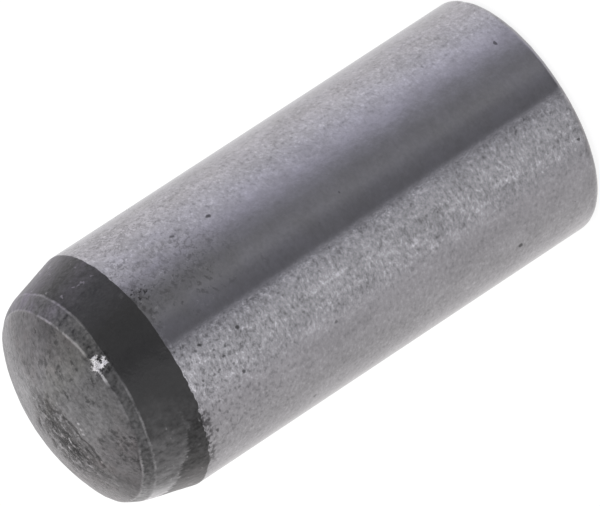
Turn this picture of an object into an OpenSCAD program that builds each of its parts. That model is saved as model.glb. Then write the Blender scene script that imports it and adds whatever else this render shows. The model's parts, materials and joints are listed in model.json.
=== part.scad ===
// Hardened dowel pin, turned and ground from one steel bar.
// It stands on its plain end. The lead end, which enters the hole first, points up.
// The origin is the centre of the plain end, and +Z runs along the axis.

/* [Shank] */
// Ground diameter of the shank
pin_d = 8; // [6:0.5:10]
// Overall length, from the plain end to the top of the crown
pin_length = 18.25; // [12:0.25:40]
// Radius of the rounded edge around the plain end
foot_round = 0.35; // [0.1:0.05:1]

/* [Lead end] */
// Length of the long lead-in chamfer, along the axis
lead_length = 1.6; // [0.5:0.1:3]
// Slope of the lead-in chamfer, in degrees from the axis
lead_angle = 15; // [5:1:25]
// Length of the short bevel between the chamfer and the crown, along the axis
bevel_length = 0.43; // [0.1:0.01:1]
// Slope of the short bevel, in degrees from the axis
bevel_angle = 26.5; // [20:0.5:45]
// Radius of the crowned end face
crown_radius = 6.6; // [5:0.1:20]

/* [Hidden] */
$fn = 128;

// Radius at each edge of the turned outline, from the shank upwards
pin_r = pin_d / 2;
lead_r = pin_r - lead_length * tan(lead_angle);
crown_r = lead_r - bevel_length * tan(bevel_angle);

// Height at the same edges, worked down from the top of the crown
crown_rise = crown_radius - sqrt(crown_radius * crown_radius - crown_r * crown_r);
crown_z = pin_length - crown_rise;
bevel_z = crown_z - bevel_length;
lead_z = bevel_z - lead_length;

// The blank runs this far past the crown, so that the crown is cut cleanly from it
blank_spare = 0.1;
blank_top = pin_length + blank_spare;
blank_top_r = crown_r - (blank_top - crown_z) * tan(bevel_angle);

// Half of the pin's section before the crown is cut: shank, chamfer and bevel
module blank_outline() {
    polygon([
        [0, 0],
        [pin_r - foot_round, 0],
        [pin_r, foot_round],
        [pin_r, lead_z],
        [lead_r, bevel_z],
        [blank_top_r, blank_top],
        [0, blank_top]
    ]);
    translate([pin_r - foot_round, foot_round]) circle(foot_round);
}

// All that lies outside the crown's sphere, above the chamfer
module crown_cut() {
    difference() {
        translate([-pin_r, bevel_z]) square([pin_d * 2, pin_length]);
        translate([0, pin_length - crown_radius]) circle(crown_radius);
    }
}

module dowel_pin() {
    color("#8d8c91")
    rotate_extrude()
    difference() {
        blank_outline();
        crown_cut();
    }
}

dowel_pin();
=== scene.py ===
# %% [markdown]
# # A hardened dowel pin
#
# A dowel pin holds two machined parts in line. It is turned from bar, hardened, and then its
# shank is ground to size between two wheels. The grinding leaves the shank bright, and the
# hardening skin stays dark on the lead-in chamfer and the crowned nose, which no wheel touches.
#
# The construction model fixes the size, and everything here works outwards from it. The
# script sets up the camera and the light, then makes the pin in the order of the workshop:
# turn a blank, roughen it, grind the shank, and last of all give the steel its finish.

# %% Load the fixed frame
import json
import math
import bpy
import numpy as np
from mathutils import Matrix, Vector


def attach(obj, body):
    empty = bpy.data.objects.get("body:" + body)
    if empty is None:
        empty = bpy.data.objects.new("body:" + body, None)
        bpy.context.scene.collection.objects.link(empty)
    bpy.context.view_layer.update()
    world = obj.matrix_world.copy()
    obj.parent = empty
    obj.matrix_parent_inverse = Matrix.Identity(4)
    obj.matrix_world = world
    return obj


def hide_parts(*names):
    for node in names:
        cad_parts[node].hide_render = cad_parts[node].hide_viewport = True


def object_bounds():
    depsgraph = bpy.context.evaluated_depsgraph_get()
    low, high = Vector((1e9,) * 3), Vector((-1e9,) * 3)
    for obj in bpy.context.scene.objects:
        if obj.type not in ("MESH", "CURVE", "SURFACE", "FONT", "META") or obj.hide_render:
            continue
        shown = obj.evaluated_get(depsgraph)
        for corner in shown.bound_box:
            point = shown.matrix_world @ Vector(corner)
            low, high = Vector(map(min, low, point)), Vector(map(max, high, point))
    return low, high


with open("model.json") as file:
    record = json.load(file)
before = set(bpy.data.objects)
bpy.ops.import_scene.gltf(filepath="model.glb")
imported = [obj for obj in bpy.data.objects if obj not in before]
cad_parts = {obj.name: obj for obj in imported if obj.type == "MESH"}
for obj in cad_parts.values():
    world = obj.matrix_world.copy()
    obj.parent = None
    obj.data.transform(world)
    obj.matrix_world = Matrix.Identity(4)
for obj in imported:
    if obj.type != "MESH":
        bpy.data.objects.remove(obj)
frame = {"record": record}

box_low, box_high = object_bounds()
print("frame box in mm:", [round(c * 1000, 3) for c in (*box_low, *box_high)])

# %% [markdown]
# ## The sizes
#
# The ground shank is a mount in the record, so its radius and both of its ends come from
# there. The crown, bevel and chamfer are small turned shapes with their own sizes. They are
# worked down from the top of the box, as a machinist would measure them.

# %% Name the sizes
MM = 0.001
DEGREES = 180 / math.pi
shank = next(m for m in frame["record"]["mounts"] if m["name"] == "shank")
SHANK_R = shank["dims"]["r_mm"] * MM
SHANK_MIDDLE = shank["pos_m"][2]
SHANK_HALF = shank["dims"]["length_mm"] * MM / 2
TOP = box_high.z
FOOT_ROUND = SHANK_MIDDLE - SHANK_HALF
LEAD_Z = SHANK_MIDDLE + SHANK_HALF

LEAD_LENGTH = 1.6 * MM
LEAD_ANGLE = math.radians(15)
BEVEL_LENGTH = 0.43 * MM
BEVEL_ANGLE = math.radians(26.5)
CROWN_RADIUS = 6.6 * MM
print("shank radius, foot round and shoulder height in mm:",
      round(SHANK_R / MM, 3), round(FOOT_ROUND / MM, 3), round(LEAD_Z / MM, 3))

# %% [markdown]
# ## The camera
#
# A small part is best seen from far off through a long lens, so that it hardly narrows with
# distance. The camera stands 22 degrees above the floor and is rolled on its own axis, which
# lays the upright pin across the picture with its nose at the lower left.

# %% Place the camera
CAMERA_HEIGHT = math.radians(22.16)
CAMERA_ROLL = math.radians(123.31)
CAMERA_DISTANCE = 302.8 * MM
CAMERA_ASIDE = 0.431 * MM
CAMERA_ABOVE = 0.363 * MM
CAMERA_LENS = 606.2

right = Vector((1, 0, 0))
back = Vector((0, -math.cos(CAMERA_HEIGHT), math.sin(CAMERA_HEIGHT)))
up = back.cross(right)
turned = Matrix.Rotation(-CAMERA_ROLL, 3, back)
right, up = turned @ right, turned @ up

camera_data = bpy.data.cameras.new("camera")
camera_data.lens = CAMERA_LENS
camera_data.clip_start = 0.01
camera_data.clip_end = 10
camera = bpy.data.objects.new("camera", camera_data)
bpy.context.scene.collection.objects.link(camera)
middle = Vector((0, 0, TOP / 2))
camera.matrix_world = Matrix.Translation(
    middle + back * CAMERA_DISTANCE + right * CAMERA_ASIDE + up * CAMERA_ABOVE
) @ Matrix((right, up, back)).transposed().to_4x4()
bpy.context.scene.camera = camera
print("camera at", [round(c, 4) for c in camera.matrix_world.translation])

# %% [markdown]
# ## Shader maths as plain arithmetic
#
# A shader tree is wired by hand in the editor. In a script it is easier to read as a sum, so
# one small class stands for a socket, and adding or multiplying two of them adds the Math
# node that does it. Every other node is made by one function.

# %% A socket that does arithmetic
class Link:
    """A number leaving a node. Arithmetic on it adds Math nodes to its tree."""

    def __init__(self, tree, socket):
        self.tree = tree
        self.socket = socket

    def math(self, operation, *values):
        """A Math node in the same tree. The values are links or plain numbers."""
        return add_node(self.tree, "ShaderNodeMath", {"operation": operation},
                        dict(enumerate(values)))

    def __add__(self, other):
        return self.math("ADD", self, other)

    def __sub__(self, other):
        return self.math("SUBTRACT", self, other)

    def __rsub__(self, other):
        return self.math("SUBTRACT", other, self)

    def __mul__(self, other):
        return self.math("MULTIPLY", self, other)

    def __truediv__(self, other):
        return self.math("DIVIDE", self, other)

    __radd__ = __add__
    __rmul__ = __mul__

    def rises(self, start, end):
        """0 below start, 1 above end, and a smooth rise between them.

        Where start is the larger of the two, it falls from 1 to 0 instead."""
        low, high = min(start, end), max(start, end)
        ends = (0.0, 1.0) if start < end else (1.0, 0.0)
        return add_node(self.tree, "ShaderNodeMapRange", {"interpolation_type": "SMOOTHSTEP"},
                        {0: self, 1: low, 2: high, 3: ends[0], 4: ends[1]})

    def size(self):
        """The number without its sign."""
        return self.math("ABSOLUTE", self)

    def within(self, low, high):
        """The number, held between low and high."""
        return self.math("MINIMUM", self.math("MAXIMUM", self, low), high)


# %% One function for every node
def add_node(tree, kind, settings=None, inputs=None, output=0):
    """Adds a node. Settings go first, then values or links into its sockets."""
    node = tree.nodes.new(kind)
    for name, value in (settings or {}).items():
        if name == "stops":
            set_stops(node.color_ramp, value)
        else:
            setattr(node, name, value)
    for place, value in (inputs or {}).items():
        if isinstance(value, Link):
            tree.links.new(value.socket, node.inputs[place])
        else:
            node.inputs[place].default_value = value
    return Link(tree, node.outputs[output]) if len(node.outputs) else node


def set_stops(ramp, stops):
    """Gives a colour ramp its stops, as pairs of a place from 0 to 1 and a colour."""
    while len(ramp.elements) < len(stops):
        ramp.elements.new(0.5)
    for element, (place, colour) in zip(ramp.elements, stops):
        element.position = place
        element.color = (*colour, 1.0)


def sockets(link, *names):
    """The named outputs of the node that a link leaves."""
    return [Link(link.tree, link.socket.node.outputs[name]) for name in names]


def empty_tree(owner):
    """The node tree of a material or world, cleared."""
    owner.use_nodes = True
    owner.node_tree.nodes.clear()
    return owner.node_tree

# %% [markdown]
# ## The light tent
#
# Polished steel has no colour of its own to speak of. It shows what stands round it, so the
# lighting is a white tent and not a lamp. The tent has one tall dark opening on the camera's
# side, and the shank shows it as a dark band along its whole length. The wall fades into the
# opening on one side and ends sharply on the other.

# %% Paint the tent's wall, by bearing
# A bearing is an angle round the upright axis. 0 faces the camera, and it grows clockwise
# as seen from above. Each stop is a bearing in degrees and the wall's colour there.
TENT_WALL = [
    (-180, (0.92, 0.92, 0.93)),
    (-140, (0.955, 0.935, 0.955)),
    (-118, (1.09, 1.065, 1.10)),
    (-98, (1.02, 1.01, 1.07)),
    (-78, (0.94, 0.93, 1.05)),
    (-64, (0.70, 0.69, 0.80)),
    (-50, (0.45, 0.45, 0.50)),
    (-38, (0.35, 0.35, 0.372)),
    (-24, (0.40, 0.40, 0.420)),
    (-14, (0.29, 0.29, 0.313)),
    (1, (0.235, 0.235, 0.254)),
    (7, (0.61, 0.61, 0.65)),
    (14, (0.75, 0.75, 0.78)),
    (34, (0.88, 0.88, 0.90)),
    (56, (0.805, 0.80, 0.82)),
    (74, (0.73, 0.715, 0.727)),
    (120, (0.81, 0.795, 0.79)),
    (160, (0.90, 0.88, 0.88)),
]

world = bpy.data.worlds.new("light_tent")
bpy.context.scene.world = world
tent_tree = empty_tree(world)
direction = add_node(tent_tree, "ShaderNodeTexCoord", output="Generated")
toward_x, toward_y, upward = sockets(
    add_node(tent_tree, "ShaderNodeSeparateXYZ", inputs={0: direction}), "X", "Y", "Z")
wall_angle = toward_x.math("ARCTAN2", 0 - toward_x, 0 - toward_y)
wall = add_node(tent_tree, "ShaderNodeValToRGB",
                {"stops": [((angle + 180) / 360, colour) for angle, colour in TENT_WALL]},
                {0: wall_angle / (2 * math.pi) + 0.5})
print("tent wall painted with", len(TENT_WALL), "stops")

# %% [markdown]
# ## The tent's window, roof and table
#
# Beside the opening a window lights the wall unevenly, brighter above and darker below the
# height that the shank mirrors. The pin is seen with a long lens, so its shank mirrors only
# a thin slice of that wall, and comes out a little brighter toward the nose. The roof is
# plain white cloth. Low down the tent stands on a table, which is a little darker.

# %% Light the tent from one side
MIRRORED_UPWARD = -math.sin(CAMERA_HEIGHT)
WINDOW_SLANT = 7.0
WINDOW_SWING = 0.9
TABLE_LOSS = 0.15
WHITE = (1.0, 1.0, 1.0, 1.0)

wall_bearing = wall_angle * DEGREES
window = wall_bearing.rises(7, 18) * wall_bearing.rises(80, 56)
above = upward - MIRRORED_UPWARD
slanted = ((above * WINDOW_SLANT).within(-WINDOW_SWING, WINDOW_SWING)
           * above.size().rises(0.26, 0.12))
roof = upward.rises(0.60, 0.85)
table = upward.rises(-0.55, -0.85)
lining = add_node(tent_tree, "ShaderNodeMix", {"data_type": "RGBA"},
                  {"Factor": roof, "A": wall, "B": WHITE}, output="Result")
tent_light = add_node(tent_tree, "ShaderNodeBackground", inputs={
    "Color": lining, "Strength": (1 + window * slanted) * (1 - table * TABLE_LOSS)})

# %% Show the camera plain white instead
backdrop = add_node(tent_tree, "ShaderNodeBackground", inputs={"Color": WHITE, "Strength": 1.0})
camera_looks = add_node(tent_tree, "ShaderNodeLightPath", output="Is Camera Ray")
surroundings = add_node(tent_tree, "ShaderNodeMixShader",
                        inputs={0: camera_looks, 1: tent_light, 2: backdrop})
add_node(tent_tree, "ShaderNodeOutputWorld", inputs={"Surface": surroundings})
print("tent: shader nodes", len(tent_tree.nodes))

# %% [markdown]
# ## The outline of the blank
#
# Everything on the pin was cut on a spinning blank, so its shape is one outline carried round
# the axis. The blank is left a few hundredths of a millimetre too thick, because the grinding
# wheels take that off later. The outline is worked out as an even run of points. Each point
# is then averaged with its close neighbours, which rounds the corners as tumbling does.

# %% Work out the outline
OVERSIZE = 0.03 * MM
BLANK_R = SHANK_R + OVERSIZE
BLANK_LEAD_Z = LEAD_Z - OVERSIZE / math.tan(LEAD_ANGLE)
BEVEL_Z = LEAD_Z + LEAD_LENGTH
CROWN_Z = BEVEL_Z + BEVEL_LENGTH
bevel_r = SHANK_R - LEAD_LENGTH * math.tan(LEAD_ANGLE)
crown_r = bevel_r - BEVEL_LENGTH * math.tan(BEVEL_ANGLE)
STEP = 0.005 * MM


def straight(start, end):
    """Points a STEP apart from start up to end, as rows of radius and height."""
    start, end = np.array(start), np.array(end)
    count = int(np.linalg.norm(end - start) / STEP)
    return start + (end - start) * np.arange(count)[:, None] / count


def arc(centre, radius, start, end):
    """Points a STEP apart on an arc. The angles are in radians, from the outward direction."""
    count = int(abs(end - start) * radius / STEP)
    angles = start + (end - start) * np.arange(count) / count
    return np.array(centre) + radius * np.stack([np.cos(angles), np.sin(angles)], 1)


def outline():
    """Radius and height from the middle of the foot to the top of the crown."""
    crown_edge = math.acos(crown_r / CROWN_RADIUS)
    return np.concatenate([
        straight((0, 0), (BLANK_R - FOOT_ROUND, 0)),
        arc((BLANK_R - FOOT_ROUND, FOOT_ROUND), FOOT_ROUND, -math.pi / 2, 0),
        straight((BLANK_R, FOOT_ROUND), (BLANK_R, BLANK_LEAD_Z)),
        straight((BLANK_R, BLANK_LEAD_Z), (bevel_r, BEVEL_Z)),
        straight((bevel_r, BEVEL_Z), (crown_r, CROWN_Z)),
        arc((0, TOP - CROWN_RADIUS), CROWN_RADIUS, crown_edge, math.pi / 2),
        [(0, TOP)],
    ])


def softened(points, reach):
    """Each point averaged with its neighbours, by a bell curve of that reach. The ends stay."""
    steps = np.arange(-3 * reach / STEP, 3 * reach / STEP + 1)
    weights = np.exp(-0.5 * (steps * STEP / reach) ** 2)
    weights /= weights.sum()
    spare = len(steps) // 2
    longer = np.pad(points, ((spare, spare), (0, 0)), mode="reflect", reflect_type="odd")
    return np.stack([np.convolve(column, weights, "valid") for column in longer.T], 1)


CORNER_SOFTNESS = 0.025 * MM
sharp = outline()
soft = softened(sharp, CORNER_SOFTNESS)
run = np.concatenate([[0], np.cumsum(np.linalg.norm(np.diff(sharp, axis=0), axis=1))])
print("outline:", len(soft), "points over", round(run[-1] / MM, 2), "mm")

# %% [markdown]
# ## The rings
#
# The construction model's mesh is made of flat facets, which a mirror finish would show. So
# the outline is carried round the axis as a finer grid of rings. The shank is straight and
# needs few. They crowd together at the shoulder and on the nose, where there is more to see.

# %% Choose where the rings go
def distance_to(radius, height):
    """How far along the outline its nearest point to this radius and height lies."""
    return run[np.argmin(np.hypot(sharp[:, 0] - radius, sharp[:, 1] - height))]


shoulder = distance_to(SHANK_R, LEAD_Z)
lower_ridge = distance_to(bevel_r, BEVEL_Z)
upper_ridge = distance_to(crown_r, CROWN_Z)

# Each entry is a stretch of the outline that ends at this distance along it, and its rings.
STRETCHES = [
    (distance_to(BLANK_R - FOOT_ROUND, 0), 3),
    (distance_to(BLANK_R, FOOT_ROUND) + 0.1 * MM, 14),
    (shoulder - 0.25 * MM, 10),
    (shoulder + 0.2 * MM, 22),
    (lower_ridge - 0.15 * MM, 30),
    (lower_ridge + 0.15 * MM, 15),
    (upper_ridge + 0.3 * MM, 28),
    (run[-1], 78),
]
AROUND = 440

starts = [STEP] + [end for end, _ in STRETCHES[:-1]]
stations = np.concatenate([
    np.linspace(start, end, count, endpoint=False)
    for start, (end, count) in zip(starts, STRETCHES)
])
ring_r = np.interp(stations, run, soft[:, 0])[:, None]
ring_z = np.interp(stations, run, soft[:, 1])[:, None]
bearings = np.arange(AROUND) * 2 * np.pi / AROUND
print("rings:", len(stations), "triangles:", 2 * AROUND * len(stations))


# %% Carry the outline round the axis
def carried_round(radius, height):
    """Points on circles round the axis, one row for each ring.

    At bearing b the point is (-radius sin b, -radius cos b, height)."""
    return np.stack([
        -radius * np.sin(bearings),
        -radius * np.cos(bearings),
        np.broadcast_to(height, np.broadcast(radius, bearings).shape),
    ], axis=-1)


blank = carried_round(ring_r, ring_z)
slope = np.stack([np.gradient(ring_r[:, 0], stations), np.gradient(ring_z[:, 0], stations)], 1)
slope /= np.linalg.norm(slope, axis=1, keepdims=True)
outward = carried_round(slope[:, 1:], -slope[:, :1])
along = np.broadcast_to(stations[:, None], blank.shape[:2])

# %% [markdown]
# ## Uneven metal
#
# A hardened blank isn't smooth. Scale leaves it faintly rough, the tumbling barrel dents its
# ridges, and the tool leaves a torn patch where it stops at the middle of the nose. These are
# real heights in the mesh, so they catch the light from every side. The random part is a
# lattice of numbers that is read smoothly, which numpy does for all points at once. Each
# use has its own seed, so it comes out the same every time.

# %% A smooth random height
LATTICE = 64
CORNERS = [(i, j, k) for i in (0, 1) for j in (0, 1) for k in (0, 1)]


def unevenness(points, size, seed):
    """A smooth random number from -1 to 1 at each point.

    Space is cut into cubes of this size and each corner gets a random number. A point takes
    the mix of its cube's eight corners, each weighted by how near the point lies to it."""
    numbers = np.random.default_rng(seed).uniform(-1, 1, (LATTICE,) * 3)
    cell = np.floor(points / size).astype(int)
    part = points / size - cell
    part = part * part * (3 - 2 * part)
    total = 0
    for corner in CORNERS:
        weight = np.where(corner, part, 1 - part).prod(axis=-1)
        total = total + weight * numbers[tuple(np.moveaxis((cell + corner) % LATTICE, -1, 0))]
    return total


# %% Places on the surface
def on_side(bearing, height):
    """The point of the outline at this bearing in degrees and this height in millimetres."""
    radius = np.interp(height * MM, soft[:, 1], soft[:, 0])
    angle = math.radians(bearing)
    return np.array((-radius * math.sin(angle), -radius * math.cos(angle), height * MM))


def on_crown(x, y):
    """The point of the crown at this x and y in millimetres."""
    sunk = CROWN_RADIUS - math.sqrt(CROWN_RADIUS ** 2 - (x * x + y * y) * MM * MM)
    return np.array((x * MM, y * MM, TOP - sunk))


def bump_at(centre, reach):
    """A bell of height 1 at the centre. It falls to a third at this reach in millimetres."""
    return np.exp(-(np.linalg.norm(blank - centre, axis=-1) / (reach * MM)) ** 2)


def band_at(distance, reach):
    """A bell of height 1 along the ring at this distance on the outline."""
    return np.exp(-((along - distance) / (reach * MM)) ** 2)


# %% [markdown]
# ## Scale, ridges and the nick
#
# Two sizes of unevenness make the scaly skin, and a much longer one makes the shoulder
# wander. Both ridges of the nose are knocked down a little all the way round, and one
# stretch is worn well away. The nick is where the pin met something hard: a small crater
# on the upper ridge, with crumbled metal inside. Every height is in millimetres.

# %% Roughen the skin, the ridges and the nick
# Each unevenness takes the size of its cubes and its seed, and is scaled to its height.
scale_height = 0.004 * unevenness(blank, 0.30 * MM, 1) + 0.003 * unevenness(blank, 0.13 * MM, 2)
wander_height = 0.006 * unevenness(blank, 1.6 * MM, 3)

ridges = band_at(lower_ridge, 0.06) + band_at(upper_ridge, 0.07)
knocked_height = ridges * (0.010 * unevenness(blank, 0.35 * MM, 4) - 0.008)

WORN_RIDGE = on_side(-92, 17.30)
worn_height = -0.060 * band_at(upper_ridge, 0.14) * bump_at(WORN_RIDGE, 1.6)
# The outline starts at the middle of the foot, so there a distance along it is a radius.
FOOT_EDGE = SHANK_R - 0.30 * FOOT_ROUND
foot_worn_height = -0.060 * band_at(FOOT_EDGE, 0.40) * bump_at(on_side(50, 0.1), 3.6)

NICK = on_side(-10, 17.16)
nick_mask = bump_at(NICK, 0.36)
nick_height = nick_mask * (0.055 * unevenness(blank, 0.085 * MM, 5) - 0.050)
print("nick: at most", round(-float(nick_height.min()), 3), "mm deep")

# %% [markdown]
# ## The torn patch and its cracks
#
# Where a turning tool reaches the middle of the nose, its cutting speed falls to nothing and
# it tears the steel. The patch is a slanted oval with soft edges, sunk a little and much
# rougher than the rest. Cracks run through it and a little beyond. Each is a path of
# straight stretches, and the unevenness shakes it so that it wanders like a real one.

# %% Tear the middle of the crown
TORN_X, TORN_Y = -0.80 * MM, -0.15 * MM
TORN_WIDE, TORN_DEEP, TORN_SLANT = 1.9 * MM, 1.10 * MM, 0.14
TORN_EDGE, TORN_SHARPNESS = 0.85, 7
on_nose = blank[..., 2] > CROWN_Z
along_tear = blank[..., 0] - TORN_X
across_tear = blank[..., 1] - TORN_Y + along_tear * TORN_SLANT
off_centre = np.hypot(along_tear / TORN_WIDE, across_tear / TORN_DEEP)
torn_mask = on_nose / (1 + np.exp(TORN_SHARPNESS * (off_centre - TORN_EDGE)))
torn_height = torn_mask * (0.024 * unevenness(blank, 0.17 * MM, 6) - 0.014)

# %% Open the cracks
# Each crack is a path over the crown, as x and y in millimetres.
CRACKS = [
    [(-0.15, -1.10), (-0.45, -1.25), (-1.00, -1.15), (-1.30, -1.25), (-1.60, -1.15),
     (-2.05, -0.90)],
    [(-0.45, 0.00), (-0.70, -0.10), (-0.90, -0.50), (-1.10, -0.65), (-1.50, -0.55),
     (-1.75, -0.80)],
    [(-0.30, -0.40), (-0.60, -0.70), (-0.90, -0.50)],
    [(0.10, 0.05), (-0.10, -0.30), (-0.30, -0.30)],
    [(-1.10, -0.05), (-1.35, -0.05), (-1.65, 0.00)],
    [(-1.20, 0.45), (-1.50, 0.60), (-1.70, 0.60)],
    [(0.50, -0.75), (0.20, -0.75), (0.00, -1.05)],
    [(-1.15, -0.40), (-1.40, -0.30)],
    [(0.30, 0.45), (0.00, 0.75)],
    [(-0.45, 0.50), (-0.75, 0.75)],
    [(-1.30, -0.95), (-1.60, -0.95), (-1.80, -0.75)],
]
CRACK_REACH, CRACK_DEPTH = 0.075, 0.022
shaky = np.stack([unevenness(blank, 0.16 * MM, seed) for seed in (8, 9)], -1) * 0.05 * MM
shaken = blank[..., :2] + shaky


def near_path(path, reach):
    """A bell of height 1 along straight stretches over the crown, seen from above.

    A point's distance to a stretch is measured to the nearest place on it."""
    nearest = np.inf
    for start, end in zip(path, path[1:]):
        start, stretch = np.array(start) * MM, (np.array(end) - start) * MM
        share = ((shaken - start) @ stretch / (stretch @ stretch)).clip(0, 1)
        aside = shaken - start - share[..., None] * stretch
        nearest = np.minimum(nearest, np.linalg.norm(aside, axis=-1))
    return np.exp(-(nearest / (reach * MM)) ** 2)


crack_mask = on_nose * np.max([near_path(path, CRACK_REACH) for path in CRACKS], axis=0)
crack_height = -CRACK_DEPTH * crack_mask
print("cracks:", len(CRACKS), "points in them:", int((crack_mask > 0.5).sum()))

# %% [markdown]
# ## Dents and worn edges
#
# The tumbling barrel leaves a few shallow dents, two of them on the foot's edge. On one side
# the shoulder is crumbled where the skin meets the ground steel. With these the list of
# heights is complete, and every point moves outward by its own sum.

# %% Dent the pin and add up the heights
# Each dent is its middle, its reach and its depth in millimetres.
DENTS = [
    (on_crown(-0.1, -2.5), 0.12, 0.020),
    (on_crown(2.6, -1.0), 0.22, 0.018),
    (on_crown(-2.7, -1.3), 0.25, 0.015),
    (on_side(-69, 0.25), 0.16, 0.050),
    (on_side(75, 0.1), 1.4, 0.030),
]
dent_height = -sum(deep * bump_at(centre, reach) for centre, reach, deep in DENTS)

CRUMBLED = on_side(42, 15.3)
crumbled_height = (band_at(shoulder, 0.22) * bump_at(CRUMBLED, 1.7) * 0.022
                   * unevenness(blank, 0.13 * MM, 7))

height_mm = (scale_height + wander_height + knocked_height + worn_height + foot_worn_height
             + nick_height + torn_height + crack_height + dent_height + crumbled_height)
rough_blank = blank + outward * (height_mm * MM)[..., None]
print("heights in mm, from", round(height_mm.min(), 3), "to", round(height_mm.max(), 3))

# %% [markdown]
# ## Grinding
#
# The wheels take the shank down to size and touch nothing thinner. So each point keeps the
# smaller of its own radius and the ground radius. Where the rough chamfer dives under the
# wheel, the edge of the bright metal comes out slightly ragged by itself. How much metal
# went is kept with each point, because the finish depends on it.

# %% Grind the shank
# A hard cut-off would leave a step at the edge of the bright metal, so the two radii blend
# over a few thousandths of a millimetre.
BLEND = 0.003 * MM
KEPT_DEPTH = 0.06
radius = np.hypot(rough_blank[..., 0], rough_blank[..., 1])
ground_r = SHANK_R - BLEND * np.logaddexp(0, (SHANK_R - radius) / BLEND)
ground = np.stack([
    rough_blank[..., 0] * ground_r / radius,
    rough_blank[..., 1] * ground_r / radius,
    rough_blank[..., 2].clip(0, TOP),
], axis=-1)
taken_off = ((radius - SHANK_R) / MM).clip(-KEPT_DEPTH, KEPT_DEPTH)
print("share of points the wheel touched:", round(float((taken_off > 0).mean()), 2))

# %% [markdown]
# ## The mesh
#
# The rings become one closed skin of quads, with a fan of triangles round the middle of the
# foot and another round the tip. The skin also keeps a few numbers with each point, such as
# how far along the outline it lies and how torn it is, so that the finish can follow the
# shape exactly.

# %% Make the mesh
def closed_skin(name, points, foot, tip):
    """A mesh through rows of points round the axis, closed by one point at each end."""
    rings, around = points.shape[:2]
    index = np.arange(rings * around).reshape(rings, around)
    next_one = np.roll(index, -1, axis=1)
    sides = np.stack(
        [index[:-1], index[1:], next_one[1:], next_one[:-1]], -1).reshape(-1, 4)
    foot_index, tip_index = rings * around, rings * around + 1
    foot_fan = np.stack([np.full(around, foot_index), index[0], next_one[0]], -1)
    tip_fan = np.stack([np.full(around, tip_index), next_one[-1], index[-1]], -1)
    mesh = bpy.data.meshes.new(name)
    mesh.from_pydata(
        np.concatenate([points.reshape(-1, 3), [foot, tip]]),
        [], sides.tolist() + foot_fan.tolist() + tip_fan.tolist())
    mesh.polygons.foreach_set("use_smooth", np.ones(len(mesh.polygons), bool))
    piece = bpy.data.objects.new(name, mesh)
    bpy.context.scene.collection.objects.link(piece)
    return piece


def keep_with_points(piece, name, values, foot, tip):
    """Stores a number with every point of the mesh. The last two are the foot's and the tip's."""
    layer = piece.data.attributes.new(name, "FLOAT", "POINT")
    layer.data.foreach_set("value", np.append(values.ravel(), (foot, tip)).astype(np.float32))


skin = closed_skin("steel_pin", ground, (0, 0, 0), (0, 0, ground[-1, :, 2].mean()))
keep_with_points(skin, "taken_off", taken_off, -KEPT_DEPTH, -KEPT_DEPTH)
keep_with_points(skin, "along", along / MM, 0, run[-1] / MM)
keep_with_points(skin, "nick", nick_mask, 0, 0)
keep_with_points(skin, "torn", torn_mask, 0, torn_mask[-1].mean())
keep_with_points(skin, "cracked", crack_mask, 0, crack_mask[-1].mean())
print("skin:", len(skin.data.vertices), "points,", len(skin.data.polygons), "faces")

# %% [markdown]
# ## The floor
#
# The floor is pale and plain. The camera sees it as white, less the pin's own soft shadow, so
# there it is mostly a glow with a little paint over it. For the light it is plain pale paint.
# The steel is kept from showing it, because the tent's wall already goes on below the pin.

# %% Lay the floor
def flat_square(name, half):
    """A square on the plane of the floor, with sides of twice half."""
    mesh = bpy.data.meshes.new(name)
    mesh.from_pydata([(-half, -half, 0), (half, -half, 0), (half, half, 0), (-half, half, 0)],
                     [], [(0, 1, 2, 3)])
    piece = bpy.data.objects.new(name, mesh)
    bpy.context.scene.collection.objects.link(piece)
    return piece


FLOOR_HALF = 2.0
FLOOR_GLOW = 0.86
PALE_PAINT = (0.8, 0.8, 0.8, 1.0)
SHADOW_PAINT = (0.25, 0.25, 0.25, 1.0)

floor = flat_square("floor", FLOOR_HALF)
floor.visible_glossy = False
white_floor = bpy.data.materials.new("white_floor")
floor_tree = empty_tree(white_floor)
plain = add_node(floor_tree, "ShaderNodeBsdfDiffuse", inputs={"Color": PALE_PAINT})
shadowed = add_node(floor_tree, "ShaderNodeBsdfDiffuse", inputs={"Color": SHADOW_PAINT})
glow = add_node(floor_tree, "ShaderNodeEmission", inputs={"Strength": FLOOR_GLOW})
bright = add_node(floor_tree, "ShaderNodeAddShader", inputs={0: shadowed, 1: glow})
camera_sees = add_node(floor_tree, "ShaderNodeLightPath", output="Is Camera Ray")
paint = add_node(floor_tree, "ShaderNodeMixShader",
                 inputs={0: camera_sees, 1: plain, 2: bright})
add_node(floor_tree, "ShaderNodeOutputMaterial", inputs={"Surface": paint})
floor.data.materials.append(white_floor)
print("floor:", 2 * FLOOR_HALF, "m across")

# %% [markdown]
# ## The steel: where things are
#
# One material covers the whole pin, because it is one piece of steel. Its finish changes from
# place to place, so the shader first works out where it is: the spot in millimetres, the
# bearing round the axis, and the numbers that were kept with the points of the mesh. Object
# coordinates are used, as they stay with the pin wherever it is put.

# %% Read the spot on the pin
steel = bpy.data.materials.new("ground_steel")
steel_tree = empty_tree(steel)


def kept(name):
    """The number that the mesh keeps with its points under this name."""
    return add_node(steel_tree, "ShaderNodeAttribute", {"attribute_name": name}, output="Fac")


def vector(operation, first, second):
    """Vector Math on links or plain triples."""
    return add_node(steel_tree, "ShaderNodeVectorMath", {"operation": operation},
                    {0: first, 1: second})


metres = add_node(steel_tree, "ShaderNodeTexCoord", output="Object")
spot = vector("MULTIPLY", metres, (1 / MM,) * 3)
x, y, z = sockets(add_node(steel_tree, "ShaderNodeSeparateXYZ", inputs={0: spot}), "X", "Y", "Z")
bearing = x.math("ARCTAN2", 0 - x, 0 - y) * DEGREES
along_mm = kept("along")


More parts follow.
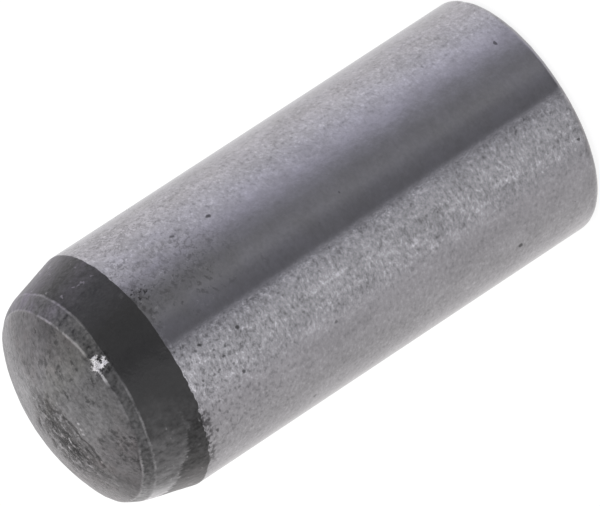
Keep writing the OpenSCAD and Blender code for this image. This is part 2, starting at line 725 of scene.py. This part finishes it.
def sector(start, full, fading, end):
    """1 in a sector of bearings, in degrees. It rises to full and falls from fading to end."""
    return bearing.rises(start, full) * bearing.rises(end, fading)


# %% [markdown]
# ## The steel: patterns
#
# Noise gives soft blotches and a cell pattern gives scattered specks. Squeezing the spot
# before it is read draws a pattern out, which is how grinding marks run round the shank.
# Shaking the spot a little frays the edges of round shapes, which would look stamped.

# %% Patterns
def noise(where, scale, detail=2.0, roughness=0.5):
    """Random blotches about 1 / scale millimetres across, from about -1 to 1."""
    fac = add_node(steel_tree, "ShaderNodeTexNoise", {"normalize": True},
                   {"Vector": where, "Scale": scale, "Detail": detail, "Roughness": roughness})
    return (fac - 0.5) * 4


def specks(where, scale, size, share):
    """Small dots of this size in millimetres, from 0 to 1. Share is how many cells have one."""
    cell = add_node(steel_tree, "ShaderNodeTexVoronoi", {"feature": "F1"},
                    {"Vector": where, "Scale": scale, "Randomness": 1.0})
    distance, chance = sockets(cell, "Distance", "Color")
    lucky = add_node(steel_tree, "ShaderNodeSeparateColor", inputs={0: chance})
    return distance.rises(size * scale, size * scale * 0.4) * (share - lucky).rises(0.0, 0.05)


def squeezed(x_share, y_share, z_share):
    """The spot with each direction squeezed, so that a pattern on it is drawn out that way."""
    return vector("MULTIPLY", spot, (x_share, y_share, z_share))


def shaken_by(reach):
    """The spot, moved at random by up to about half of this reach in millimetres."""
    return vector("ADD", spot, vector("MULTIPLY", stray, (reach,) * 3))


ragged = add_node(steel_tree, "ShaderNodeTexNoise",
                  inputs={"Vector": spot, "Scale": 6.0, "Detail": 2.0}, output="Color")
stray = vector("SUBTRACT", ragged, (0.5,) * 3)
frayed = shaken_by(0.35)
lightly_frayed = shaken_by(0.18)


def blot(centre, reach, where=frayed, soft=0.5):
    """1 near a point of the surface and 0 beyond this reach in millimetres, with a frayed edge.

    The soft share says where it starts to fall: 0.5 is halfway out."""
    distance = add_node(steel_tree, "ShaderNodeVectorMath", {"operation": "DISTANCE"},
                        {0: where, 1: tuple(centre / MM)}, output="Value")
    return distance.rises(reach, reach * soft)


def either(first, second):
    """The larger of two masks."""
    return first.math("MAXIMUM", first, second)


# %% [markdown]
# ## The steel: grain of the ground shank
#
# The wheel leaves short fine marks that run round the shank. They could be height alone, but
# a mirror shows so little of them in soft light that most are painted as lighter and darker
# grain, with a faint relief to match. How strongly the grain shows is painted by bearing: it
# is strongest on one side, beside the mirrored dark band, weaker on two others, and almost
# gone in between. On those sides its light and dark specks are partly painted glints and
# reflections, besides the grain itself.

# %% Grain and clouds
patches = noise(squeezed(0.8, 0.8, 0.6), 1.6, 3.0)
ripple = noise(spot, 5.5, 4.0, 0.7) * (1 + patches * 0.4)
grain = noise(squeezed(0.75, 0.75, 1.0), 8.5, 4.0, 0.72)
clouds = noise(squeezed(1.0, 1.0, 0.4), 1.0, 3.0)
clumps = noise(squeezed(1.0, 1.0, 0.7), 2.8, 2.0)
blotchy = noise(spot, 1.4, 4.0, 0.6) * sector(-88, -76, -4, 8)
# Painted glints and reflections: these bearings, seen from the camera, set how strongly the
# grain's light and dark specks are painted.
coarse_and_glinting = sector(0.5, 4.5, 24, 46)
frosted_and_glinting = either(sector(-84, -66, -46, -28) * 0.72, sector(22, 36, 110, 170) * 0.50)
grain_and_glint_share = either(coarse_and_glinting, frosted_and_glinting)
near_shoulder = z.rises(9.0, 14.0)

polished = noise(squeezed(1.0, 1.0, 0.35), 2.4, 4.0, 0.6).rises(0.15, 0.7) * coarse_and_glinting
scratched = (noise(spot, 2.0, 3.0, 0.6).size().rises(0.035, 0.0)
             * noise(spot, 1.1, 2.0).rises(-0.3, 0.1)
             * z.rises(12.0, 13.5) * sector(-34, -28, -8, -2))
# Painted glints: lighter and darker specks of grain painted into the colour where reflections
# would catch them.
painted_glints = ((grain.rises(0.25, 0.70) * 0.22 - grain.rises(-0.25, -0.70) * 0.24)
          * (0.85 + near_shoulder * 0.50))
burr = ((z + noise(spot, 3.0, 3.0) * 0.06).rises(15.14, 15.22)
        * noise(spot, 3.6, 3.0, 0.6).rises(-0.15, 0.35) * sector(-8, 0, 26, 34))

# %% [markdown]
# ## The steel: pits and scale on the shank
#
# Rolled-in scale leaves pits. The large ones each have their own place, and a cell pattern
# scatters the small ones, thickest near the shoulder. Beside the shoulder there is also a
# crust of scale and a grey stain. All of them are masks from 0 to 1, and the darkest wins.

# %% Pits
# Each pit is its bearing, its height, its reach in millimetres and how dark it is.
PITS = [
    (-39.5, 12.9, 0.11, 0.8), (-38, 11.6, 0.12, 0.9), (-43, 3.1, 0.08, 0.5),
    (-32, 0.9, 0.09, 0.8), (-69.5, 0.3, 0.09, 0.7), (-11, 14.1, 0.07, 0.8),
    (-13, 8.0, 0.06, 0.6), (10.7, 13.1, 0.09, 1.0), (17.7, 13.9, 0.10, 1.0),
    (14.5, 13.7, 0.08, 0.8), (29, 13.5, 0.09, 0.9), (8, 14.4, 0.08, 0.9),
    (22, 14.2, 0.08, 0.8), (22, 14.8, 0.07, 0.8), (8, 6.3, 0.07, 0.7),
    (40, 15.1, 0.11, 0.9), (48, 14.9, 0.09, 0.8), (34, 10.1, 0.08, 0.6),
    (57.5, 3.3, 0.12, 0.9), (24.7, 0.45, 0.08, 0.9), (68.5, 11.2, 0.09, 0.7),
]
crumbs = noise(squeezed(0.8, 0.8, 1.0), 6.5, 3.0, 0.6)
dots = specks(lightly_frayed, 3.0, 0.060, 0.45) * z.rises(10.5, 13.5) * sector(-2, 4, 40, 60)
grit = crumbs.rises(0.25, 0.55) * near_shoulder * sector(-2, 6, 50, 70)
pits = either(specks(frayed, 2.2, 0.05, 0.07) * 0.5, either(dots * 0.65, grit * 0.38))
for pit_bearing, pit_height, reach, dark in PITS:
    pits = either(pits, blot(on_side(pit_bearing, pit_height), reach, lightly_frayed) * dark)
print("pits with a place of their own:", len(PITS))

# %% Scale and stain
SCALE_CLUSTER = on_side(-24.5, 14.98)
cluster = blot(SCALE_CLUSTER, 0.62, soft=0.2) * noise(spot, 9.0, 3.0).rises(0.05, 0.40)
cluster_stain = blot(SCALE_CLUSTER, 0.75, soft=0.1)
smudge = sector(-36, -28, -14, -4) * z.rises(14.3, 15.1)
stained = sector(-48, -36, -20, -6) * z.rises(10.5, 13.0) * (0.8 + patches * 0.5)
scaly = either(
    patches.rises(-0.25, 0.35) * (0.12 + near_shoulder * 0.88) * sector(-175, -120, -10, 4),
    stained)
hairlines = (noise(spot, 2.6, 4.0, 0.6).size().rises(0.09, 0.02) * scaly
             * bearing.rises(-10, -25))
residue = scaly * either(crumbs.rises(0.15, 0.50) * 0.8, specks(frayed, 6.0, 0.035, 0.45) * 1.3)
shoulder_dirt = either(sector(-30, -24, -16, -8), sector(24, 36, 60, 76))
fringe = crumbs.rises(-0.3, 0.4) * z.rises(14.85, 15.22) * shoulder_dirt
for mark in (
    cluster * 0.95,
    cluster_stain * 0.20,
    smudge * (0.10 + crumbs.rises(0.0, 0.5) * 0.45),
    residue * (0.42 + stained * 0.20),
    fringe * (0.55 + bearing.rises(20, 26) * 0.30),
    hairlines * 0.5,
):
    pits = either(pits, mark)

# %% The shank's tone and relief
# Each weight is the share by which that mark lightens or darkens the steel's own tone.
SHANK_TONE = 0.365
shank_marks = (
    grain * (0.10 + grain_and_glint_share * 0.26)
    + painted_glints * grain_and_glint_share
    + patches * (0.04 + grain_and_glint_share * 0.11)
    + clumps * (0.012 + grain_and_glint_share * 0.055)
    + clouds * 0.06
    + blotchy * (0.075 + sector(-55, -45, -30, -20) * 0.045)
    + polished * 0.28
    + scratched * 0.45
    + burr * (0.20 + grain * 0.5)
    - stained * 0.10
)
shank_grey = SHANK_TONE * (1 + shank_marks) * (1 - pits * 0.80)
shank_relief = ((ripple * 0.0028 + grain * 0.0013) * (0.12 + coarse_and_glinting * 0.88)
                - pits * 0.003 + blotchy * bearing.rises(-6, -20) * 0.004)

# %% [markdown]
# ## The steel: the dark skin of the chamfer
#
# Hardening leaves a thin dark oxide, which isn't a metal to look at: it is a dull dielectric
# with a faint gloss. It stays charcoal on the chamfer, with pale flecks where it is worn. On
# one side it is rubbed to a lighter grey above a ragged edge, which climbs and falls with
# the bearing. The rubbing is mixed into the tone, because it has no depth worth modelling.

# %% Chamfer
mottle = noise(spot, 3.2, 4.0, 0.6)
fine = noise(spot, 9.0, 2.0)
wiped = noise(squeezed(1.6, 1.6, 0.7), 3.5, 4.0, 0.65)
streaked = noise(squeezed(1.0, 1.0, 0.3), 1.5, 3.0, 0.6)


def positive(number):
    """The number where it is above 0, and 0 elsewhere."""
    return number.math("MAXIMUM", number, 0)


# The rub's edge is lowest at RUB_BEARING. It climbs ever faster before that and evenly after.
RUB_BEARING = 37
RUB_HEIGHT = 15.72
CLIMB_BEFORE = 0.0011
CLIMB_AFTER = 0.0145
before = positive(RUB_BEARING - bearing)
after = positive(bearing - RUB_BEARING)
rub_edge = RUB_HEIGHT + before * before * CLIMB_BEFORE + after * CLIMB_AFTER
rub_depth = z - rub_edge + noise(spot, 1.9, 5.0, 0.65) * 0.17 + wiped * 0.07
rubbed = rub_depth.rises(-0.05, 0.12) * sector(8, 30, 98, 120)
rub_rim = rub_depth.rises(-0.05, 0.04) * rub_depth.rises(0.20, 0.05) * sector(25, 45, 98, 120)
rub_pale = 0.014 + bearing.rises(24, 75) * 0.120 + bearing.rises(72, 90) * 0.34
rubbed_behind = noise(spot, 0.45, 3.0).rises(0.05, 0.45) * bearing.size().rises(95, 115)

# %% The chamfer's tone
CHAMFER_TONE = 0.030
worn = either(bearing.rises(-25, -55), bearing.rises(12, 45))
flecks = specks(frayed, 3.2, 0.075, 0.15 + worn * 0.50)
# Painted sheen: the dark skin is painted paler toward its outline and back as seen from the
# camera, where it is seen at a grazing angle.
painted_edge_sheen = bearing.size().rises(58, 90) * bearing.size().rises(175, 110)
chamfer_marks = (mottle * 1.0 + fine * 0.75 + streaked * 0.9) * (0.10 + worn * 0.90)
rub_marks = mottle * 0.35 + wiped * 0.55 + streaked * 0.75
chamfer_grey = (
    CHAMFER_TONE * (1 + chamfer_marks)
    + flecks * (0.02 + worn * 0.13)
    + painted_edge_sheen * 0.07
    + either(rubbed * rub_pale, rubbed_behind * 0.06) * (1 + rub_marks)
    + rub_rim * wiped.rises(-0.4, 0.8) * 0.08
)

# %% [markdown]
# ## The steel: the bevel and the crown
#
# The skin is thinner and greyer on the nose. The crown has painted shade toward both sides and
# a painted sheen toward the back, where it is seen at a grazing angle. It carries faint scores
# from turning, a few dark specks and the torn patch. Inside the patch the same fine noise makes
# both the dark hollows and the bright torn lips, so that they lie side by side. The lips are
# lighter torn metal with painted highlights. The cracks were worked into the mesh, and the
# colour follows them.

# %% Bevel
BEVEL_TONE = 0.086
bevel_lift = (bearing.rises(12, 40) * 0.15 - bearing.rises(-20, 2) * 0.25
              + bearing.rises(45, 80)) * bearing.rises(170, 100)
bevel_grey = (BEVEL_TONE * (1 + mottle * 0.60 + fine * 0.65 + streaked * 0.25)
              * (1.10 + bevel_lift) + painted_edge_sheen * 0.03)

# %% Crown
CROWN_TONE = 0.175
drawn = noise(squeezed(0.55, 1.35, 1.0), 3.4, 4.0, 0.62) * x.rises(2.6, 1.0) * x.rises(-2.7, -1.5)
splinter = noise(squeezed(0.7, 0.9, 1.0), 5.8, 4.0, 0.75)
blots = noise(spot, 1.5, 3.0, 0.6)
scuffed = (noise(squeezed(0.8, 1.2, 1.0), 1.3, 3.0, 0.55).rises(0.20, 0.45)
           * splinter.rises(-0.10, 0.20))
scored = (noise(squeezed(0.5, 1.6, 1.0), 1.6, 3.0, 0.6).size().rises(0.05, 0.0)
          * blots.rises(0.1, 0.5) * x.rises(-0.2, -1.0))
# Painted shade toward both sides of the crown, and a painted sheen toward its back, where it is
# seen at a grazing angle.
crown_shade_and_sheen = (0.97 - x.rises(0.9, 2.3) * 0.50 - x.rises(-0.8, -2.4) * 0.50
               + y.rises(-2.1, -1.5) * 0.21 + y.rises(-0.6, 1.2) * 0.48)
crown_marks = mottle * 0.22 + drawn * 0.22 + fine * 0.40 + blots * 0.22
plain_crown = CROWN_TONE * crown_shade_and_sheen * (1 + crown_marks)

# %% Torn patch
# Each bright lip is its x, its y and its reach, in millimetres: painted highlights on torn metal.
TORN_LIPS = [
    (-0.60, -0.30, 0.11), (-1.05, -0.45, 0.09), (-0.55, -1.55, 0.06), (-0.72, -1.48, 0.07),
    (-0.90, -1.38, 0.08), (-1.55, -0.65, 0.08), (-1.90, -1.00, 0.07),
]
torn = kept("torn")
core = blot(on_crown(-0.95, -0.40), 0.85, soft=0.1)
cracked = (kept("cracked") + splinter * 0.50 + blots * 0.20).rises(0.42, 0.78)
peppered = noise(squeezed(0.8, 1.0, 1.0), 9.5, 3.0, 0.6)
hollows = either((splinter + core * 0.30).rises(-0.06, 0.10) * (0.85 + core * 0.15),
                 peppered.rises(0.05, 0.34) * 0.95)
torn_dark = either(torn * hollows, cracked * (0.80 + core * 0.20))
# Painted highlights: the bright torn lips are lighter torn metal with highlights painted on.
torn_lips_and_highlights = torn * either(splinter.rises(-0.42, -0.66), peppered.rises(-0.28, -0.55) * 0.35)
for lip_x, lip_y, reach in TORN_LIPS:
    torn_lips_and_highlights = either(torn_lips_and_highlights, blot(on_crown(lip_x, lip_y), reach, lightly_frayed) * 0.6)

# %% Specks on the crown
# Each soft speck is its x, its y and its reach, in millimetres.
SOFT_SPECKS = [
    (-0.3, -2.45, 0.08), (-0.55, -2.35, 0.09), (-0.75, -2.1, 0.08), (-1.6, -1.65, 0.14),
]
crown_specks = either(specks(frayed, 3.4, 0.075, 0.30), blot(on_crown(-0.1, -2.5), 0.11))
for speck_x, speck_y, reach in SOFT_SPECKS:
    crown_specks = either(
        crown_specks, blot(on_crown(speck_x, speck_y), reach, soft=0.2) * 0.7)
crown_dirt = either(either(crown_specks, scuffed), scored)
worked_crown = ((plain_crown * (1 - torn_dark * 0.95) + torn_lips_and_highlights * 0.42)
                * (1 - crown_dirt * 0.62))

# %% [markdown]
# ## The steel: where each finish shows
#
# The wheels leave bright steel wherever they took metal off, and dark skin elsewhere. So the
# mask is the depth that was ground away, with its own raggedness. The bevel and crown start
# at their ridges. The ridges are rubbed bright in stretches, and the nick is bare metal.

# %% Skin, bevel and crown
nose_skin = (kept("taken_off") + fine * 0.0015).rises(0.002, -0.003) * z.rises(1.0, 2.0)
foot_skin = z.rises(0.02, 0.005)
skin_share = either(nose_skin, foot_skin)

far_side = bearing.rises(170, 100)
lower_drift = (bearing.rises(-45, 50) * far_side * 0.12 - 0.04
               - sector(-76, -60, -30, -14) * 0.05)
upper_drift = (0.04 - (bearing.rises(-60, 0) - bearing.rises(0, 160)) * 0.10
               - sector(0, 8, 32, 42) * 0.05)
jagged = (mottle * 0.014
          + (mottle * 0.022 + fine * 0.020) * bearing.rises(26, 44) * far_side)
past_lower = along_mm + jagged - lower_ridge / MM - lower_drift
past_upper = along_mm + jagged - upper_ridge / MM - upper_drift
bevel_share = past_lower.rises(-0.02, 0.02)
crown_share = past_upper.rises(-0.02, 0.03)

crown_rim = past_upper.rises(0.02, 0.14) * past_upper.rises(1.0, 0.5)
rim_tone = (sector(28, 38, 52, 60) * 0.40 - sector(-36, -24, 14, 30) * 0.24
            - sector(58, 66, 80, 90) * 0.20)
crown_grey = worked_crown * (1 + crown_rim * rim_tone)

# %% Rubbed ridges and the nick
broken = noise(spot, 2.2, 4.0, 0.65)
lower_rub = (past_lower.size().rises(0.060, 0.010) * broken.rises(-0.9, 0.5)
             * either(bearing.rises(-22, -44) * 0.85, bearing.rises(-2, 12) * 0.8))
left_of_nick = bearing.rises(-15, -21) * (1 - bearing.rises(-36, -62) * 0.6)
low_side = bearing.rises(34, 46) * (0.8 - bearing.rises(90, 170) * 0.4)
upper_rub = (past_upper.size().rises(0.065, 0.010) * broken.rises(-0.9, 0.4)
             * either(left_of_nick, low_side))
ridge_rub = either(lower_rub * 0.75, upper_rub)
nick_tail = past_upper.size().rises(0.065, 0.015) * sector(-14, -10, -5, 4)

crumb = noise(spot, 5.5, 4.0, 0.7)
nick_depth = kept("nick")
nick = (nick_depth + crumb * 0.55).rises(0.66, 0.82) * nick_depth.rises(0.05, 0.20)
nick_dark = nick_depth.rises(0.12, 0.40) * crumb.rises(-0.15, -0.40)

# %% [markdown]
# ## The steel: put the finishes together
#
# Each finish is laid over the one before by its own mask: shank, chamfer, bevel, crown, and
# then the bright rubs and the nick. The tone is worked out as one grey number and is tinted
# at the end, warm on the nose, with a painted violet sheen on one side of the dark skin.

# %% Tone, relief and gloss
RIDGE_TONE = 0.40
TAIL_TONE = 0.75
nick_tone = 0.32 + nick_depth.rises(0.35, 0.75) * 0.68


def laid_over(below, above, share):
    """One tone over another, by a share from 0 to 1."""
    return below + (above - below) * share


dashed = mottle.rises(-0.05, 0.30) * sector(38, 46, 62, 74) * bevel_share
patchy = 0.80 + fine * 0.4
grey = laid_over(shank_grey, chamfer_grey, skin_share)
grey = laid_over(grey, bevel_grey, bevel_share)
grey = grey * (1 - dashed * 0.5)
grey = laid_over(grey, crown_grey, crown_share)
grey = laid_over(grey, RIDGE_TONE, ridge_rub * patchy)
grey = laid_over(grey, TAIL_TONE, nick_tail * patchy)
grey = grey * (1 - nick_dark * 0.8)
grey = laid_over(grey, nick_tone, nick)

crown_relief = drawn * 0.008 + splinter * torn * 0.030 - crown_specks * 0.012
skin_relief = (mottle * 0.004 + fine * 0.0022
               + crown_relief * crown_share + crumb * nick_depth * 0.03)
relief = laid_over(shank_relief, skin_relief, skin_share)

bare = either(either(ridge_rub, nick_tail) * 0.5, nick * 0.9)
bright_metal = either(bare, crown_share * (1 - torn_dark) * 0.25)
metal = 1 - skin_share * (1 - bright_metal)
rough = 0.18 + skin_share * (0.20 + mottle * 0.04 - nick * 0.12 - crown_share * 0.10)

# %% Tint
# Each colour channel is the grey times a number close to 1.
rust = noise(spot, 1.3, 3.0, 0.6).rises(0.0, 0.8)
browned = bearing.rises(50, 68) * z.rises(16.4, 15.9) * skin_share
beside = x.size().rises(0.8, 2.0)
warm = (crown_share * ((0.2 + rust * 0.7) * (0.3 + beside * 0.7) + torn_dark * 0.7)
        + browned * 0.6)
# A painted violet sheen on one side of the dark skin, below the crown.
violet_sheen = (sector(-170, -120, -56, -30) * skin_share * (1 - crown_share)
          * (0.75 + streaked * 0.9))
red = 1 + warm * 0.06
green = 0.985 - warm * 0.01 - violet_sheen * 0.08 - crown_share * (0.004 + beside * 0.016)
blue = (1.03 - skin_share * 0.03 - warm * 0.03 + violet_sheen * 0.10 - stained * 0.05
        + blotchy * (1 - skin_share) * 0.020)

# %% Shader
# The grinding marks run round the pin, which smears its reflections along it. The same
# smear and the same index of refraction hold everywhere, so they are plain values.
colour = add_node(steel_tree, "ShaderNodeCombineColor", inputs={
    0: grey * red, 1: grey * green, 2: grey * blue})
bumps = add_node(steel_tree, "ShaderNodeBump", inputs={
    "Strength": 1.0, "Distance": MM, "Height": relief})
shader = add_node(steel_tree, "ShaderNodeBsdfPrincipled", inputs={
    "Base Color": colour, "Metallic": metal, "Roughness": rough, "IOR": 1.5,
    "Anisotropic": 0.9, "Anisotropic Rotation": 0.25, "Normal": bumps})
add_node(steel_tree, "ShaderNodeOutputMaterial", inputs={"Surface": shader})
skin.data.materials.append(steel)
print("steel: shader nodes", len(steel_tree.nodes))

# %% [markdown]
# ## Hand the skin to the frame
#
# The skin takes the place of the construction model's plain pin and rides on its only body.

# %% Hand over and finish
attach(skin, "root")
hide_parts("dowel_pin")
bpy.context.scene.view_settings.view_transform = "Standard"
